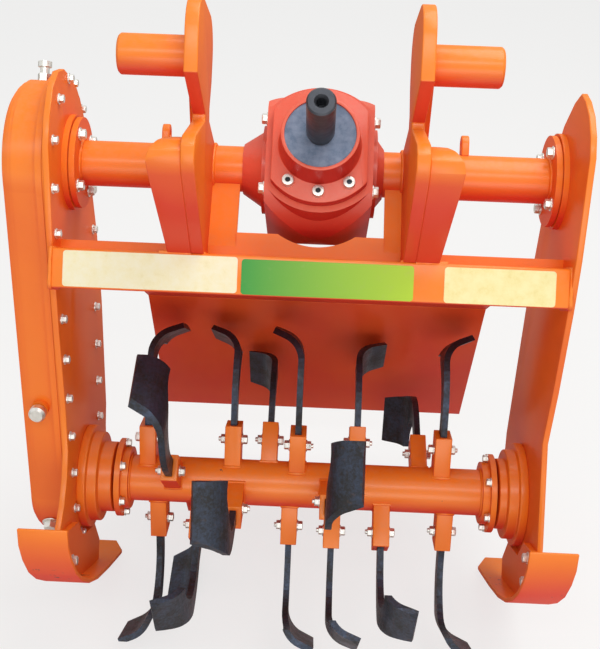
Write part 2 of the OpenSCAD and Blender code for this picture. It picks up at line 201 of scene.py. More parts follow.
def new_material(name):
    """An empty Principled material; returns it with its tree, shader and Object coordinates."""
    material = bpy.data.materials.new(name)
    material.use_nodes = True
    tree = material.node_tree
    tree.nodes.clear()
    shader = add(tree, "ShaderNodeBsdfPrincipled")
    add(tree, "ShaderNodeOutputMaterial", {"Surface": shader.outputs["BSDF"]})
    place = add(tree, "ShaderNodeTexCoord").outputs["Object"]
    return material, tree, shader, place


def ramp(tree, value, low, high, start=0.0, end=1.0):
    """A value taken from low..high to start..end."""
    return add(tree, "ShaderNodeMapRange", {
        "Value": value, "From Min": low, "From Max": high, "To Min": start, "To Max": end,
    }).outputs["Result"]


def mixed(tree, amount, first, second):
    """Colour between first and second."""
    return add(tree, "ShaderNodeMix", {"Factor": amount, 6: first, 7: second}, data_type="RGBA").outputs[2]


def combined(tree, operation, first, second):
    """Result of an arithmetic node on two values."""
    return add(tree, "ShaderNodeMath", {0: first, 1: second}, operation=operation).outputs[0]


def grain(tree, place, size, detail, rough=0.5):
    """Cloudy noise whose grain is that many millimetres."""
    return add(tree, "ShaderNodeTexNoise", {
        "Vector": place, "Scale": per_mm(size), "Detail": detail, "Roughness": rough,
    }).outputs["Fac"]


def bumped(tree, height, strength, depth, under=None):
    """Normal raised by a height up to that depth in metres, over another normal where one is given."""
    inputs = {"Height": height, "Strength": strength, "Distance": depth}
    if under is not None:
        inputs["Normal"] = under
    return add(tree, "ShaderNodeBump", inputs).outputs["Normal"]


def enamel(name, base, painted_shade_colour, wear, peel=3.0, peel_depth=0.12, gloss=0.33):
    """Air-dried machine enamel over steel: a soft even gloss with orange peel, full orange on faces that
    look up, and a redder tone painted on faces that look down or sideways as painted shade, thin dust on
    top, and chips to grey steel where soil rubs it."""
    material, tree, shader, place = new_material(name)
    normal = add(tree, "ShaderNodeTexCoord").outputs["Normal"]
    facing = add(tree, "ShaderNodeSeparateXYZ", {"Vector": normal}).outputs["Z"]
    # Painted shade: faces whose normal looks down or sideways are mixed towards the redder colour, blotched
    # a little at random
    blotch = ramp(tree, grain(tree, place, 160, 3.0), 0.3, 0.7, -0.1, 0.1)
    painted_shade_side = combined(tree, "ADD", blotch, facing)
    tone = mixed(tree, ramp(tree, painted_shade_side, -0.42, 0.34), painted_shade_colour, base)
    # Dust settles on faces that look up
    grit = grain(tree, place, 9, 6.0, 0.65)
    upward = ramp(tree, facing, 0.2, 1.0, 0.0, 0.16)
    dust = combined(tree, "MULTIPLY", upward, ramp(tree, grit, 0.4, 0.75))
    dusty = mixed(tree, dust, tone, linear("#c9a58c"))
    # Chips down to grey steel, more of them with wear
    chips = combined(tree, "ADD", grain(tree, place, 14, 9.0, 0.62), grain(tree, place, 70, 2.0))
    edge = 1.47 - 0.33 * wear
    bare = ramp(tree, chips, edge, edge + 0.035)
    # Orange peel over the slow sags of a sprayed coat
    wavy = bumped(tree, grain(tree, place, 45, 1.0), 0.25, 0.002)
    peeled = bumped(tree, grain(tree, place, peel, 2.0), peel_depth, 0.0006, under=wavy)
    rough = ramp(tree, grit, 0.3, 0.8, gloss - 0.06, gloss + 0.14)
    # The gloss is the clear top of the film alone, so plates seen edge-on keep their colour
    feed(tree, shader, {
        "Base Color": mixed(tree, bare, dusty, linear("#55504c")),
        "Roughness": add(tree, "ShaderNodeMix", {0: bare, 2: rough, 3: 0.7}).outputs[0],
        "Normal": peeled,
        "IOR": 1.5,
        "Specular IOR Level": 0.0,
        "Coat Weight": 0.24,
        "Coat Roughness": 0.29,
        "Coat IOR": 2.2,
    })
    return material


def forged_tine_steel(scale_colour, worn_colour):
    """Hot-forged spring steel: black scale with a dull sheen, rubbed through to blue-grey steel in streaks,
    with a little brown rust in the pits."""
    material, tree, shader, place = new_material("forged tine steel")
    scale = combined(tree, "ADD", grain(tree, place, 35, 5.0, 0.6), grain(tree, place, 4, 8.0, 0.7))
    worn = ramp(tree, scale, 0.85, 1.4)
    colour = mixed(tree, worn, scale_colour, worn_colour)
    rust = ramp(tree, grain(tree, place, 11, 7.0), 0.62, 0.72, 0, 0.35)
    feed(tree, shader, {
        "Base Color": mixed(tree, rust, colour, linear("#5a4334")),
        "Roughness": ramp(tree, scale, 0.8, 1.3, 0.55, 0.34),
        "Metallic": ramp(tree, worn, 0, 1, 0.35, 0.8),
        "Normal": bumped(tree, scale, 0.25, 0.0006),
    })
    return material


def turned_shaft_steel():
    """Turned and oiled carbon steel: dark grey with fine rings round the shaft's axis and a soft sheen."""
    material, tree, shader, place = new_material("turned shaft steel")
    aim = (INPUT_TILT + LEAN - math.pi / 2, 0, 0)
    along = add(tree, "ShaderNodeMapping", {"Vector": place, "Rotation": aim}).outputs["Vector"]
    rings = add(tree, "ShaderNodeTexWave", {"Vector": along, "Scale": per_mm(26), "Distortion": 0.6},
                bands_direction="Z").outputs["Fac"]
    smear = grain(tree, place, 22, 5.0)
    feed(tree, shader, {
        "Base Color": mixed(tree, smear, linear("#33353a"), linear("#5c5f66")),
        "Roughness": ramp(tree, smear, 0.3, 0.7, 0.5, 0.34),
        "Metallic": 0.75,
        "Normal": bumped(tree, rings, 0.12, 0.0003),
    })
    return material


def dusty_seal_rubber(colour):
    """Moulded nitrile rubber under dry dust: matt blue-grey, paler where the dust is thick."""
    material, tree, shader, place = new_material("dusty seal rubber")
    dust = grain(tree, place, 12, 7.0, 0.65)
    feed(tree, shader, {
        "Base Color": mixed(tree, ramp(tree, dust, 0.35, 0.65), colour, linear("#7d8aa0")),
        "Roughness": 0.72,
        "Normal": bumped(tree, dust, 0.3, 0.0006),
    })
    return material


def zinc_plate():
    """Zinc plating on pressed steel: a pale bright metal, slightly yellow, dulled by handling."""
    material, tree, shader, place = new_material("zinc plate")
    haze = grain(tree, place, 5, 6.0)
    feed(tree, shader, {
        "Base Color": mixed(tree, haze, linear("#c9c7bf"), linear("#efeee8")),
        "Roughness": ramp(tree, haze, 0.3, 0.7, 0.26, 0.44),
        "Metallic": 0.9,
        "Normal": bumped(tree, haze, 0.1, 0.0003),
    })
    return material


def vinyl_film(name, colours, along=None):
    """Plain vinyl film stuck on the bar: smooth and half-glossy, slightly scuffed. Where along gives two
    places in millimetres, its colour runs from the first to the last over that length."""
    material, tree, shader, place = new_material(name)
    scuff = grain(tree, place, 16, 8.0, 0.7)
    if along:
        x = add(tree, "ShaderNodeSeparateXYZ", {"Vector": place}).outputs["X"]
        first, last = ((a + TUBE_AT.x) * MM for a in along)
        share = ramp(tree, x, first, last)
    else:
        share = ramp(tree, scuff, 0.4, 0.8)
    colour = mixed(tree, share, colours[0], colours[1])
    rubbed = ramp(tree, scuff, 0.58, 0.8, 0, 0.16)
    feed(tree, shader, {
        "Base Color": mixed(tree, rubbed, colour, linear("#b9a98c")),
        "Roughness": ramp(tree, scuff, 0.3, 0.8, 0.28, 0.5),
        "Normal": bumped(tree, scuff, 0.06, 0.0003),
    })
    return material


def finish(piece, material):
    """Gives a piece one material."""
    piece.data.materials.clear()
    piece.data.materials.append(material)


def material_for(name):
    """A material that the finishes operator has made."""
    if name not in bpy.data.materials:
        raise RuntimeError(f"the finish {name} isn't made yet")
    return bpy.data.materials[name]


# ---------------------------------------------------------------- modelling


def begin():
    """Leaves edit mode with nothing selected."""
    if bpy.context.mode != "OBJECT":
        bpy.ops.object.mode_set(mode="OBJECT")
    bpy.ops.object.select_all(action="DESELECT")


def pick_top(piece):
    """Selects in edit mode the faces that look straight up."""
    bpy.ops.object.mode_set(mode="EDIT")
    bpy.ops.mesh.select_mode(type="FACE")
    bpy.ops.mesh.select_all(action="DESELECT")
    bpy.ops.object.mode_set(mode="OBJECT")
    for face in piece.data.polygons:
        face.select = face.normal.z > 0.99
    bpy.ops.object.mode_set(mode="EDIT")


def prism(sides, radius, bottom, top, chamfer):
    """A round or hexagonal prism along Z with a chamfered top edge."""
    begin()
    bpy.ops.mesh.primitive_cylinder_add(
        vertices=sides, radius=radius, depth=top - bottom, location=(0, 0, (top + bottom) / 2))
    piece = bpy.context.object
    bpy.ops.object.transform_apply(location=True, rotation=True, scale=True)
    pick_top(piece)
    bpy.ops.mesh.bevel(offset=chamfer, segments=2, affect="EDGES")
    bpy.ops.object.mode_set(mode="OBJECT")
    return piece


def merged(name, pieces):
    """Joins pieces into one object with that name."""
    begin()
    for piece in pieces:
        piece.select_set(True)
    bpy.context.view_layer.objects.active = pieces[0]
    if len(pieces) > 1:
        bpy.ops.object.join()
    whole = bpy.context.object
    whole.name = whole.data.name = name
    return whole


def hex_bolt(flats, height):
    """A hexagon head on a round washer, with its underside at the origin."""
    reach = flats / math.sqrt(3)
    return merged("hex bolt", [
        prism(6, reach, HEAD_FOOT, height, chamfer=height * 0.16),
        prism(20, reach * 1.28, 0, WASHER_T, chamfer=0.0004),
    ])


def nut_on_stud(flats):
    """A hexagon nut with the end of its bolt showing, with its underside at the origin."""
    reach = flats / math.sqrt(3)
    return merged("nut on stud", [
        prism(6, reach, HEAD_FOOT, flats * 0.62, chamfer=flats * 0.06),
        prism(20, reach * 1.25, 0, WASHER_T, chamfer=0.0004),
        prism(14, flats * 0.29, 0.002, flats * 0.9, chamfer=flats * 0.05),
    ])


def socket_screw(radius):
    """A round cap screw with a round socket in its head."""
    piece = prism(24, radius, 0, radius * 1.15, chamfer=radius * 0.12)
    pick_top(piece)
    bpy.ops.mesh.inset(thickness=radius * 0.42, depth=0)
    bpy.ops.mesh.extrude_region_move(TRANSFORM_OT_translate={"value": (0, 0, -radius * 0.6)})
    bpy.ops.object.mode_set(mode="OBJECT")
    piece.name = "socket screw"
    return piece


def aimed(point, direction):
    """Matrix that sets a piece's origin on a point of the machine frame, its Z along a direction there."""
    turn = Vector(direction).to_track_quat("Z", "Y").to_matrix().to_4x4()
    return PARKED @ Matrix.Translation(Vector(point)) @ turn @ Matrix.Scale(1 / MM, 4)


def copies(name, pattern, places):
    """Copies of a pattern at those (point, direction) places, each with its own mesh, as one piece."""
    made = []
    for point, direction in places:
        mesh = pattern.data.copy()
        mesh.transform(aimed(point, direction))
        copy = bpy.data.objects.new(name, mesh)
        bpy.context.collection.objects.link(copy)
        made.append(copy)
    return merged(name, made)


def discard(piece):
    """Removes a pattern that has served its copies."""
    bpy.data.objects.remove(piece)


def dress(piece, body, material, smooth=35):
    """Smooths a finished piece, gives it its finish and lets it ride on its body."""
    begin()
    piece.select_set(True)
    bpy.context.view_layer.objects.active = piece
    bpy.ops.object.shade_smooth_by_angle(angle=math.radians(smooth))
    finish(piece, material_for(material))
    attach(piece, body)


def fasten(name, pattern, places, body="frame"):
    """Zinc-plated copies of a fastener at those places, as one piece on a body."""
    dress(copies(name, pattern, places), body, "zinc plate")


def ring_bead(x, radius, bead, y=0.0, z=0.0):
    """A weld bead round the X direction about a point of the machine frame."""
    begin()
    bpy.ops.mesh.primitive_torus_add(
        major_segments=72, minor_segments=8, major_radius=radius * MM, minor_radius=bead,
        location=PARKED @ Vector((x, y, z)), rotation=(0, math.pi / 2, 0))
    piece = bpy.context.object
    bpy.ops.object.transform_apply(location=True, rotation=True, scale=True)
    return piece


def line_bead(points, bead, closed=False):
    """A weld bead along points of the machine frame, run as a round cord and made a mesh."""
    begin()
    curve = bpy.data.curves.new("bead", "CURVE")
    curve.dimensions = "3D"
    curve.bevel_depth = bead
    curve.bevel_resolution = 1
    curve.use_fill_caps = not closed
    spline = curve.splines.new("POLY")
    spline.points.add(len(points) - 1)
    for knot, point in zip(spline.points, points):
        knot.co = (*(PARKED @ Vector(point)), 1)
    spline.use_cyclic_u = closed
    piece = bpy.data.objects.new("bead", curve)
    bpy.context.collection.objects.link(piece)
    piece.select_set(True)
    bpy.context.view_layer.objects.active = piece
    bpy.ops.object.convert(target="MESH")
    return bpy.context.object


def straight(first, last, step=7.0):
    """Points from first to last, a step apart in millimetres."""
    first, last = Vector(first), Vector(last)
    count = max(1, round((last - first).length / step))
    return [first.lerp(last, i / count) for i in range(count + 1)]


def rippled(piece, depth):
    """Lays the small uneven ripples of a hand-run bead on a mesh."""
    begin()
    piece.select_set(True)
    bpy.context.view_layer.objects.active = piece
    texture = bpy.data.textures.get("weld ripple") or bpy.data.textures.new("weld ripple", "CLOUDS")
    texture.noise_scale = 0.006
    modifier = piece.modifiers.new("ripple", "DISPLACE")
    modifier.texture = texture
    modifier.texture_coords = "LOCAL"
    modifier.strength = depth
    bpy.ops.object.modifier_apply(modifier=modifier.name)
    bpy.ops.object.mode_set(mode="EDIT")
    bpy.ops.mesh.select_all(action="SELECT")
    bpy.ops.mesh.normals_make_consistent(inside=False)
    bpy.ops.object.mode_set(mode="OBJECT")
    return piece


def circle_places(x, radius, count, start, direction, y=0.0, z=0.0):
    """Places on a bolt circle round the X direction, the first at start degrees."""
    found = []
    for i in range(count):
        a = math.radians(start + 360 * i / count)
        found.append(((x, y + radius * math.cos(a), z + radius * math.sin(a)), direction))
    return found


def case_outline(grow, step):
    """Points in order round the chain case's outline, grown by so much, about a step apart."""
    top, low = CASE_TOP_R + grow, CASE_LOW_R + grow
    rear, front = CASE_TIP + CASE_SIDE, CASE_TIP - CASE_SIDE

    def on_arc(y, z, r, first, last):
        count = round((last - first) * r / step)
        turns = [first + (last - first) * i / count for i in range(count)]
        return [(y + r * math.cos(a), z + r * math.sin(a)) for a in turns]

    def on_side(first, last):
        count = round(math.dist(first, last) / step)
        return [tuple(a + (b - a) * i / count for a, b in zip(first, last)) for i in range(count)]

    corners = [(y + r * math.cos(a), z + r * math.sin(a)) for y, z, r, a in (
        (0, 0, top, front), (ROTOR_Y, ROTOR_Z, low, front),
        (ROTOR_Y, ROTOR_Z, low, rear), (0, 0, top, rear))]
    return (on_arc(0, 0, top, rear, front + math.tau) + on_side(corners[0], corners[1])
            + on_arc(ROTOR_Y, ROTOR_Z, low, front, rear) + on_side(corners[2], corners[3]))


# ---------------------------------------------------------------- operators


class TILLER_OT_finishes(bpy.types.Operator):
    """Makes the finishes and gives each solid of the frame its own"""

    bl_idname = "tiller.finishes"
    bl_label = "Finishes"

    def execute(self, context):
        colours = context.scene.tiller_finish
        orange = enamel("machine enamel", colours.enamel, colours.enamel_painted_shade, 0.0)
        cast = enamel("casting enamel", colours.cast_enamel, colours.cast_painted_shade, 0.1, 2.2, 0.45, 0.34)
        worn = enamel("soil-worn enamel", colours.enamel, colours.enamel_painted_shade, 0.75, gloss=0.36)
        rotor = enamel("rotor enamel", colours.enamel, colours.enamel_painted_shade, 0.35)
        tine = forged_tine_steel(colours.tine, colours.tine_worn)
        shaft = turned_shaft_steel()
        seal = dusty_seal_rubber(colours.seal)
        zinc = zinc_plate()
        vinyl_film("cream vinyl film", (linear("#f3ebcb"), linear("#efe1a9")))
        vinyl_film("green vinyl film", (linear("#2f9434"), linear("#b4d62c")), along=MIDDLE_FILM_X)
        vinyl_film("yellow vinyl film", (linear("#f3e9ae"), linear("#ead786")))
        special = {
            "gearbox_housing": cast, "gearbox_front_flange": cast,
            "input_seal_ring": seal, "input_shaft": shaft,
            "chain_case_breather": zinc, "oil_level_plug": zinc,
            "skid_left": worn, "skid_right": worn,
            "rotor_tube": rotor, "rotor_flanges": rotor, "tine_sockets": rotor,
            "tines_left_hand": tine, "tines_right_hand": tine,
        }
        for name, node in CAD_NODES.items():
            finish(node, special.get(name, orange))
        return {"FINISHED"}


class TILLER_OT_soft_edges(bpy.types.Operator):
    """Gives the plates, bars and castings the small round edges that grinding and paint leave"""

    bl_idname = "tiller.soft_edges"
    bl_label = "Soft edges"

    # Radius of each solid's edges in millimetres
    radii = {
        "front_bar": 3.0, "hitch_arm_left": 1.6, "hitch_arm_right": 1.6, "hitch_stub_left": 1.0,
        "hitch_stub_right": 1.0, "gearbox_front_flange": 1.0, "skid_left": 1.2, "skid_right": 1.2,
        "arm_gusset_left": 1.2, "arm_gusset_right": 1.2, "chain_case_plate": 1.2,
        "right_side_plate": 1.5, "tube_lugs": 1.5, "rotor_hub_left": 1.5, "rotor_hub_right": 1.5,
        "rear_board": 0.8, "tine_sockets": 1.2,
    }

    def soften(self, name, radius):
        begin()
        solid = CAD_NODES[name]
        piece = bpy.data.objects.new(f"{name}_softened", solid.data.copy())
        bpy.context.collection.objects.link(piece)
        piece.select_set(True)
        bpy.context.view_layer.objects.active = piece
        bpy.ops.object.mode_set(mode="EDIT")
        bpy.ops.mesh.select_all(action="SELECT")
        bpy.ops.mesh.remove_doubles(threshold=0.00001)
        bpy.ops.mesh.dissolve_limited(angle_limit=math.radians(0.5))
        bpy.ops.object.mode_set(mode="OBJECT")
        modifier = piece.modifiers.new("edges", "BEVEL")
        modifier.width = radius * MM
        modifier.segments = 3
        modifier.limit_method = "ANGLE"
        modifier.angle_limit = math.radians(40)
        modifier.use_clamp_overlap = False
        bpy.ops.object.modifier_apply(modifier=modifier.name)
        body = "rotor" if name == "tine_sockets" else "frame"
        dress(piece, body, solid.data.materials[0].name)
        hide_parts(name)

    def execute(self, context):
        for name, radius in self.radii.items():
            self.soften(name, radius)
        return {"FINISHED"}


class TILLER_OT_case_bolts(bpy.types.Operator):
    """Bolts round the chain case's joint, and its drain plug"""

    bl_idname = "tiller.case_bolts"
    bl_label = "Chain case bolts"

    # How far outside the cover the bolts run, and the drain plug's place on its lower end, in millimetres
    outside = 5.0
    drain_x, drain_turn = -369, math.radians(-128)

    def execute(self, context):
        sizes = context.scene.tiller_fasteners
        head = hex_bolt(sizes.small_flats, SMALL_HEAD_HEIGHT)
        inner = []
        for y, z in case_outline(self.outside, sizes.case_pitch / MM):
            # Towards the top rear the case reaches past its plate, so the heads sit on the flange there
            past_plate = z > 60 and y > 0
            inner.append(((CASE_FLANGE_X if past_plate else CASE_X, y, z), (1, 0, 0)))
        fasten("chain_case_bolts", head, inner)
        discard(head)
        plug = hex_bolt(flats=0.019, height=0.012)
        y, z = math.cos(self.drain_turn), math.sin(self.drain_turn)
        place = (self.drain_x, ROTOR_Y + CASE_LOW_R * y, ROTOR_Z + CASE_LOW_R * z)
        fasten("case_drain_plug", plug, [(place, (0, y, z))])
        discard(plug)
        return {"FINISHED"}


class TILLER_OT_flange_bolts(bpy.types.Operator):
    """Bolts of the cross tube's end flanges, the side plate and the skid brackets"""

    bl_idname = "tiller.flange_bolts"
    bl_label = "Flange bolts"

    # Bolt circle of the end flanges, and the skid brackets' bolts as (y, z), in millimetres
    circle = 47
    upper, lower = (42, -513), (48, -547)

    def execute(self, context):
        sizes = context.scene.tiller_fasteners
        head = hex_bolt(sizes.bolt_flats, HEAD_HEIGHT)
        nut = nut_on_stud(sizes.bolt_flats)
        heads = circle_places(CASE_X + END_FLANGE_T, self.circle, 4, 45, (1, 0, 0))
        heads += circle_places(SIDE_X - END_FLANGE_T, self.circle, 4, 45, (-1, 0, 0))
        heads += [((SIDE_X - BRACKET_T, *at), (-1, 0, 0)) for at in (self.upper, self.lower)]
        heads += [((CASE_X + BRACKET_T, *self.lower), (1, 0, 0))]
        nuts = circle_places(SIDE_OUT_X, self.circle, 4, 45, (1, 0, 0))
        nuts += [((SIDE_OUT_X, *self.upper), (1, 0, 0))]
        fasten("flange_bolts", head, heads)
        fasten("side_plate_nuts", nut, nuts)
        discard(head)
        discard(nut)
        return {"FINISHED"}


class TILLER_OT_bearing_cap(bpy.types.Operator):
    """Pressed cap over the rotor's bearing outside the side plate, with its ring of bolts"""

    bl_idname = "tiller.bearing_cap"
    bl_label = "Bearing cap"

    # Radius and thickness of the cap's flange, and its bolt circle, in millimetres
    flange_r, flange_t, circle = 60, 4, 49

    def execute(self, context):
        sizes = context.scene.tiller_fasteners
        cap = prism(64, self.flange_r * MM, 0, self.flange_t * MM, chamfer=0.0012)
        # The raised middle that the press leaves
        pick_top(cap)
        bpy.ops.mesh.inset(thickness=0.022, depth=0)
        bpy.ops.mesh.extrude_region_move(TRANSFORM_OT_translate={"value": (0, 0, 0.006)})
        bpy.ops.mesh.bevel(offset=0.002, segments=3, affect="EDGES")
        bpy.ops.object.mode_set(mode="OBJECT")
        cover = copies("bearing_cap", cap, [((SIDE_OUT_X, ROTOR_Y, ROTOR_Z), (1, 0, 0))])
        dress(cover, "frame", "machine enamel")
        discard(cap)
        head = hex_bolt(sizes.small_flats, SMALL_HEAD_HEIGHT)
        face = SIDE_OUT_X + self.flange_t
        places = circle_places(face, self.circle, 6, 0, (1, 0, 0), ROTOR_Y, ROTOR_Z)
        fasten("bearing_cap_bolts", head, places)
        discard(head)
        return {"FINISHED"}


class TILLER_OT_gearbox_bolts(bpy.types.Operator):
    """Cap screws of the front bearing housing, body bolts and the filler plug"""

    bl_idname = "tiller.gearbox_bolts"
    bl_label = "Gearbox bolts"

    # Cap screws: their circle, and how far they are ahead of the cross tube, in millimetres
    screw_circle, screw_ahead = 63, 92
    # Body bolts: how far they are to the side and ahead, and the heights of the two on a side
    body_side, body_ahead, body_heights = 68, 66, (44, -50)

    def execute(self, context):
        ahead = Vector((0, -math.cos(INPUT_TILT), math.sin(INPUT_TILT)))
        above = Vector((0, math.sin(INPUT_TILT), math.cos(INPUT_TILT)))

        def on_front(side, up, out):
            return Vector((side, 0, 0)) + above * up + ahead * out

        screw = socket_screw(radius=0.0075)
        places = []
        for angle in (233, 270, 307):
            a = math.radians(angle)
            side, up = self.screw_circle * math.cos(a), self.screw_circle * math.sin(a)
            places.append((on_front(side, up, self.screw_ahead), ahead))
        fasten("gearbox_cap_screws", screw, places)
        discard(screw)
        # A dark hexagon of tine steel at the bottom of each socket
        floor = prism(6, radius=0.0042, bottom=0.0042, top=0.0056, chamfer=0.0003)
        dress(copies("cap_screw_sockets", floor, places), "frame", "forged tine steel")
        discard(floor)
        bolt = hex_bolt(flats=0.012, height=0.008)
        sides = [(on_front(s * self.body_side, up, self.body_ahead), (s, 0, 0))
                 for s in (-1, 1) for up in self.body_heights]
        fasten("gearbox_body_bolts", bolt, sides)
        discard(bolt)
        plug = hex_bolt(flats=0.022, height=0.012)
        fasten("gearbox_filler_plug", plug, [((0, 20, 93.5), (0, 0.2, 0.98))])
        discard(plug)
        return {"FINISHED"}


class TILLER_OT_rotor_bolts(bpy.types.Operator):
    """Bolts of the rotor's end flanges, and the bolt and nut through each tine socket"""

    bl_idname = "tiller.rotor_bolts"
    bl_label = "Rotor bolts"

    # Flange bolts: their circle, and how far they are outward of the tube's ends, in millimetres
    flange_circle, flange_out = 52, 10
    # Distance of the tine bolts from the rotor's axis
    tine_out = 66

    def execute(self, context):
        sizes = context.scene.tiller_fasteners
        head = hex_bolt(sizes.small_flats, SMALL_HEAD_HEIGHT)
        places = []
        for x, inward in ((ROTOR_X[0] - self.flange_out, 1), (ROTOR_X[1] + self.flange_out, -1)):
            places += circle_places(x, self.flange_circle, 6, 33, (inward, 0, 0), ROTOR_Y, ROTOR_Z)
        fasten("rotor_flange_bolts", head, places, "rotor")
        discard(head)
        head, nut = hex_bolt(sizes.bolt_flats, HEAD_HEIGHT), nut_on_stud(sizes.bolt_flats)
        heads, nuts = [], []
        for i, (x, angle) in enumerate(SOCKETS):
            a = math.radians(angle)
            # One bolt in three is put in from the other side
            side = 1 if i % 3 else -1
            y, z = ROTOR_Y + self.tine_out * math.cos(a), ROTOR_Z + self.tine_out * math.sin(a)
            heads.append(((x + side * SOCKET_HALF_X, y, z), (side, 0, 0)))
            nuts.append(((x - side * SOCKET_HALF_X, y, z), (-side, 0, 0)))
        fasten("tine_bolts", head, heads, "rotor")
        fasten("tine_nuts", nut, nuts, "rotor")
        discard(head)
        discard(nut)
        return {"FINISHED"}


class TILLER_OT_frame_welds(bpy.types.Operator):
    """Weld beads of the cross tube, arms, stubs, bar and brackets"""

    bl_idname = "tiller.frame_welds"
    bl_label = "Frame welds"

    # Length of a gusset's foot on the bar, in millimetres
    gusset_foot = 40

    def execute(self, context):
        bead = context.scene.tiller_fasteners.bead
        edge = TUBE_R + 1
        made = [ring_bead(x, edge, bead) for x in (CASE_X + END_FLANGE_T, SIDE_X - END_FLANGE_T)]
        made += [ring_bead(x, edge, bead) for x in (*ARM_LEFT, *ARM_RIGHT)]
        made += [ring_bead(x, STUB_R + 1, bead, STUB_Y, STUB_Z) for x in (ARM_LEFT[0], ARM_RIGHT[1])]
        low, rear = BAR_TOP - BAR_SIZE, BAR_FRONT + BAR_SIZE
        for x in (CASE_X, SIDE_X):
            corners = [(x, BAR_FRONT, BAR_TOP), (x, rear, BAR_TOP), (x, rear, low), (x, BAR_FRONT, low)]
            path = []
            for first, last in zip(corners, corners[1:] + corners[:1]):
                path += straight(first, last)[:-1]
            made.append(line_bead(path, bead, closed=True))
        # On top of the bar: along both faces of each arm, then across each gusset's foot
        front = BAR_FRONT + 3
        for x in (*ARM_LEFT, *ARM_RIGHT):
            made.append(line_bead(straight((x, front, BAR_TOP), (x, rear - 2, BAR_TOP)), bead))
        for x, outward in ((ARM_LEFT[0], -1), (ARM_RIGHT[1], 1)):
            end = x + outward * self.gusset_foot
            made.append(line_bead(straight((x, front, BAR_TOP), (end, front, BAR_TOP)), bead))
        welds = rippled(merged("frame_weld_beads", made), 0.0012)
        dress(welds, "frame", "machine enamel", smooth=60)
        return {"FINISHED"}


class TILLER_OT_rotor_welds(bpy.types.Operator):
    """Weld beads round the foot of each tine socket and the rotor's end flanges"""

    bl_idname = "tiller.rotor_welds"
    bl_label = "Rotor welds"

    def execute(self, context):
        bead = context.scene.tiller_fasteners.bead * 0.85
        made = [ring_bead(x, ROTOR_TUBE_R + 1, bead, ROTOR_Y, ROTOR_Z) for x in ROTOR_X]
        half = math.asin(SOCKET_HALF_Y / ROTOR_TUBE_R)
        for x, angle in SOCKETS:
            middle = math.radians(angle)
            ring = []
            for u, v in ((-1, -1), (-1, 0), (-1, 1), (0, 1), (1, 1), (1, 0), (1, -1), (0, -1)):
                a = middle + v * half
                ring.append((x + u * SOCKET_HALF_X,
                             ROTOR_Y + ROTOR_TUBE_R * math.cos(a), ROTOR_Z + ROTOR_TUBE_R * math.sin(a)))
            made.append(line_bead(ring, bead, closed=True))
        welds = rippled(merged("rotor_weld_beads", made), 0.001)
        dress(welds, "rotor", "rotor enamel", smooth=60)
        return {"FINISHED"}


class TILLER_OT_bar_plates(bpy.types.Operator):
    """Three plain films on the front bar, with rounded corners"""

    bl_idname = "tiller.bar_plates"
    bl_label = "Bar plates"

    # Each film: its ends along the bar, its top and lower edges, and its material
    films = (
        ("bar_film_left", -314, -96, -120.5, -165.5, "cream vinyl film"),
        ("bar_film_middle", *MIDDLE_FILM_X, -122.5, -166.5, "green vinyl film"),
        ("bar_film_right", 161, 299, -122, -166.5, "yellow vinyl film"),
    )
    # Thickness of a film, far over the real one so that it shows, in millimetres
    thickness = 0.8

    def film(self, name, x0, x1, top, low, material):
        begin()
        bpy.ops.mesh.primitive_cube_add(size=1)
        film = bpy.context.object
        film.scale = ((x1 - x0) * MM, self.thickness * MM, (top - low) * MM)
        bpy.ops.object.transform_apply(location=True, rotation=True, scale=True)
        bpy.ops.object.mode_set(mode="EDIT")
        bpy.ops.mesh.select_mode(type="EDGE")
        bpy.ops.mesh.select_all(action="DESELECT")
        bpy.ops.object.mode_set(mode="OBJECT")
        # The four edges through its thickness, at its corners
        for edge in film.data.edges:
            a, b = (film.data.vertices[i].co for i in edge.vertices)
            edge.select = abs(a.y - b.y) > self.thickness * MM / 2
        bpy.ops.object.mode_set(mode="EDIT")
        bpy.ops.mesh.bevel(offset=0.004, segments=4, affect="EDGES")
        bpy.ops.object.mode_set(mode="OBJECT")
        middle = Vector(((x0 + x1) / 2, BAR_FRONT - self.thickness / 2, (top + low) / 2))
        film.data.transform(Matrix.Translation(PARKED @ middle) @ TURNED)
        film.name = film.data.name = name
        dress(film, "frame", material, smooth=30)

    def execute(self, context):
        for row in self.films:
            self.film(*row)
        return {"FINISHED"}


